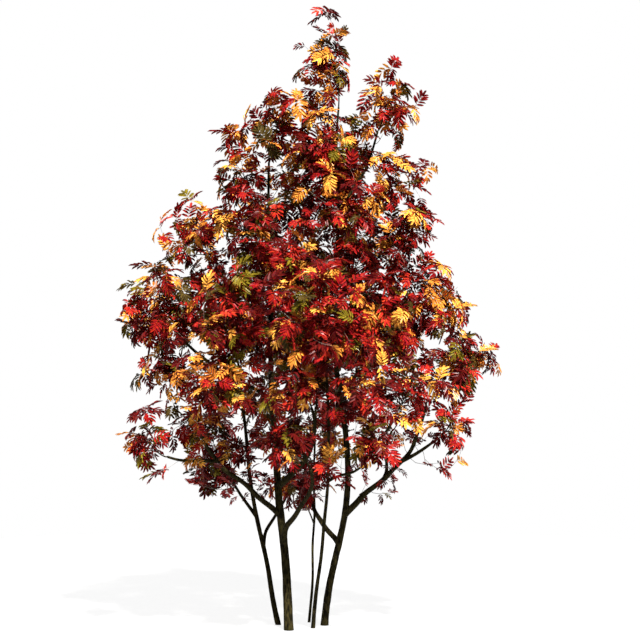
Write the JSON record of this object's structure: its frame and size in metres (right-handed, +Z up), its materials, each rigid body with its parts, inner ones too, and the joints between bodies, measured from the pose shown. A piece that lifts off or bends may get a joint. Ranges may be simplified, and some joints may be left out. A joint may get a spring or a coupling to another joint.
{
  "type": "rowan tree",
  "caption": "Whole multi-stemmed rowan in autumn leaf: bare slender stems fan out from the ground under an open, pointed crown of red and amber foliage.",
  "frame": {"origin": "middle of the main stem's flat-cut foot, at ground level", "axes": "+Z up; -Y is the side the tree is seen from, with +X to the right as seen from there"},
  "size_m": [3.7464, 3.4401, 6.0255],
  "materials": {
    "bark": "matt, finely cracked dark bark",
    "foliage_crimson": "thin leaves, deep red",
    "foliage_scarlet": "thin leaves, bright red",
    "foliage_amber": "thin leaves, orange-yellow",
    "foliage_olive": "thin leaves, brownish green"
  },
  "bodies": {
    "root": {"stem_main": "bark", "stem_left": "bark", "stem_back": "bark", "stem_front": "bark", "stem_right": "bark", "bough_front": "bark", "bough_left": "bark", "bough_right": "bark", "bough_left_middle": "bark", "bough_left_high": "bark", "bough_left_reach": "bark", "bough_left_back": "bark", "bough_back_left": "bark", "bough_front_right": "bark", "bough_back": "bark", "bough_low_right": "bark", "bough_right_front": "bark", "bough_right_middle": "bark", "bough_right_high": "bark", "bough_right_reach": "bark", "bough_right_back": "bark", "mass_spire": "foliage_crimson", "mass_spire_right": "foliage_crimson", "mass_upper_left": "foliage_crimson", "mass_neck_front": "foliage_scarlet", "mass_neck_back": "foliage_crimson", "mass_left_lobe": "foliage_crimson", "mass_right_shoulder": "foliage_crimson", "mass_upper_back": "foliage_crimson", "mass_upper_front": "foliage_scarlet", "mass_left_shoulder": "foliage_crimson", "mass_left_front_high": "foliage_crimson", "mass_back_high": "foliage_amber", "mass_front_high": "foliage_crimson", "mass_right_back_high": "foliage_crimson", "mass_right_high": "foliage_crimson", "mass_left_middle": "foliage_crimson", "mass_left_low": "foliage_amber", "mass_left_under": "foliage_crimson", "mass_left_back_middle": "foliage_crimson", "mass_left_front_middle": "foliage_crimson", "mass_back_middle": "foliage_crimson", "mass_front_middle": "foliage_scarlet", "mass_right_back_middle": "foliage_crimson", "mass_right_front_middle": "foliage_crimson", "mass_right_middle": "foliage_crimson", "mass_right_tip": "foliage_crimson", "mass_right_hang": "foliage_amber", "mass_left_front_low": "foliage_crimson", "mass_left_reach": "foliage_crimson", "mass_left_back_low": "foliage_olive", "mass_front_low": "foliage_crimson", "mass_front_under": "foliage_olive", "mass_back_left_low": "foliage_crimson", "mass_back_low": "foliage_crimson", "mass_front_right_low": "foliage_crimson", "mass_right_back_low": "foliage_scarlet", "mass_right_front_low": "foliage_crimson", "mass_front_right_under": "foliage_crimson", "mass_inner_under": "foliage_crimson"}
  },
  "joints": []
}
